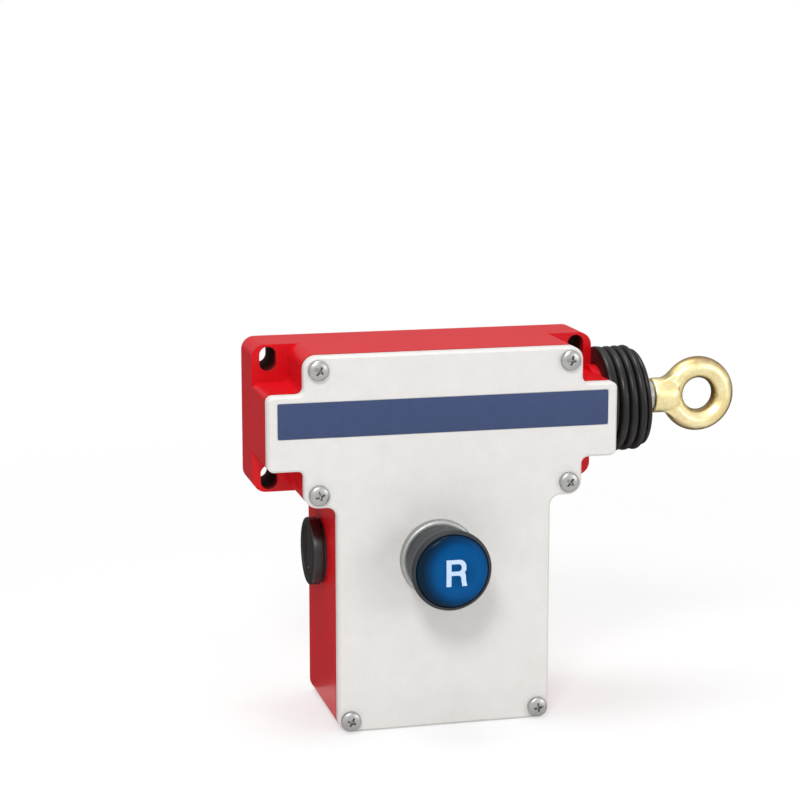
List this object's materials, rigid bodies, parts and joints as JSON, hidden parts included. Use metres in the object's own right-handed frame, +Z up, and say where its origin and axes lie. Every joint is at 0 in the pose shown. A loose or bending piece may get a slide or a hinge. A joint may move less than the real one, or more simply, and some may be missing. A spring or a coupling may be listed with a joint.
{
  "type": "rope pull switch",
  "caption": "Wall-mounted rope pull safety switch: T-shaped cast box with a bellows-sealed rope eye and a front reset button.",
  "frame": {"origin": "centre of the four mounting slots, on the back face that sits on the wall", "axes": "+X towards the rope eye, +Y into the wall, so that the cover faces -Y, +Z up; the stem points down"},
  "size_m": [0.1892, 0.0768, 0.142],
  "materials": {
    "red_paint": "gloss enamel over a die casting",
    "cover_paint": "matt fine-textured light grey",
    "label_navy": "satin film",
    "gasket_rubber": "matt black rubber",
    "bellows_rubber": "black moulded rubber, slight sheen",
    "plug_plastic": "black moulded plastic",
    "bright_steel": "zinc plated, bright",
    "spring_steel": "drawn wire",
    "yellow_zinc": "yellow passivated zinc plate, forged",
    "bush_bronze": "turned bronze",
    "block_plastic": "moulded ivory plastic",
    "dark_plastic": "moulded dark grey plastic",
    "boot_rubber": "dark grey rubber",
    "bezel_metal": "satin metal",
    "cap_blue": "gloss blue plastic"
  },
  "bodies": {
    "housing": {"casting": "red_paint", "cover_gasket": "gasket_rubber", "cover_plate": "cover_paint", "label_strip": "label_navy", "cover_screws": "bright_steel", "left_entry_plug": "plug_plastic", "right_entry_plug": "plug_plastic", "plug_seals": "gasket_rubber", "shaft_bushes": "bush_bronze", "main_spring": "spring_steel", "bellows": "bellows_rubber", "rocker_pin": "bright_steel", "rocker_clip": "spring_steel", "left_contact_block": "block_plastic", "right_contact_block": "block_plastic", "block_screws": "bright_steel", "terminal_clamps": "bright_steel", "terminal_screws": "yellow_zinc", "reset_bezel": "bezel_metal", "reset_locknut": "bezel_metal", "reset_boot": "boot_rubber", "reset_spring": "spring_steel", "latch_bracket": "bright_steel", "latch_bracket_screw": "bright_steel", "latch_pin": "bright_steel", "latch_spring": "spring_steel", "earth_clamp": "bright_steel", "earth_screw": "yellow_zinc"},
    "shaft": {"pull_shaft": "bright_steel", "shaft_sleeve": "bright_steel", "rope_eye": "yellow_zinc", "drive_pin": "bright_steel", "spring_washer": "bright_steel", "shaft_nuts": "bright_steel"},
    "trip_rocker": {"rocker": "bright_steel"},
    "slack_contact": {"left_plunger": "dark_plastic"},
    "pull_contact": {"right_plunger": "dark_plastic"},
    "reset_button": {"reset_cap": "cap_blue", "reset_plunger": "dark_plastic", "reset_clip": "spring_steel"},
    "latch": {"latch_lever": "bright_steel"}
  },
  "joints": [
    {"name": "rope_pull", "type": "slide", "parent": "housing", "child": "shaft", "axis": [1, 0, 0], "range_m": [0, 0.008], "stiffness_N_per_m": 6000, "springref_m": -0.001, "deforming": ["main_spring", "bellows"]},
    {"name": "rocker_swing", "type": "hinge", "parent": "housing", "child": "trip_rocker", "pos_m": [0, -0.0184, -0.027], "axis": [0, 1, 0], "range_deg": [0, 15.29]},
    {"name": "slack_plunger", "type": "slide", "parent": "housing", "child": "slack_contact", "axis": [0, 0, 1], "range_m": [0, 0.00428]},
    {"name": "pull_plunger", "type": "slide", "parent": "housing", "child": "pull_contact", "axis": [0, 0, -1], "range_m": [0, 0.00428]},
    {"name": "reset_press", "type": "slide", "parent": "housing", "child": "reset_button", "axis": [0, 1, 0], "range_m": [0, 0.004], "stiffness_N_per_m": 800, "springref_m": -0.001, "deforming": ["reset_spring", "reset_boot"]},
    {"name": "latch_swing", "type": "hinge", "parent": "housing", "child": "latch", "pos_m": [0, -0.0245, -0.039], "axis": [1, 0, 0], "range_deg": [0, 22.93]}
  ],
  "couplings": [
    {"joint": "rocker_swing", "follows": "rope_pull", "rad_per_m": 33.333},
    {"joint": "slack_plunger", "follows": "rope_pull", "ratio": 0.53333},
    {"joint": "pull_plunger", "follows": "rope_pull", "ratio": 0.53333},
    {"joint": "latch_swing", "follows": "reset_press", "rad_per_m": 100}
  ]
}
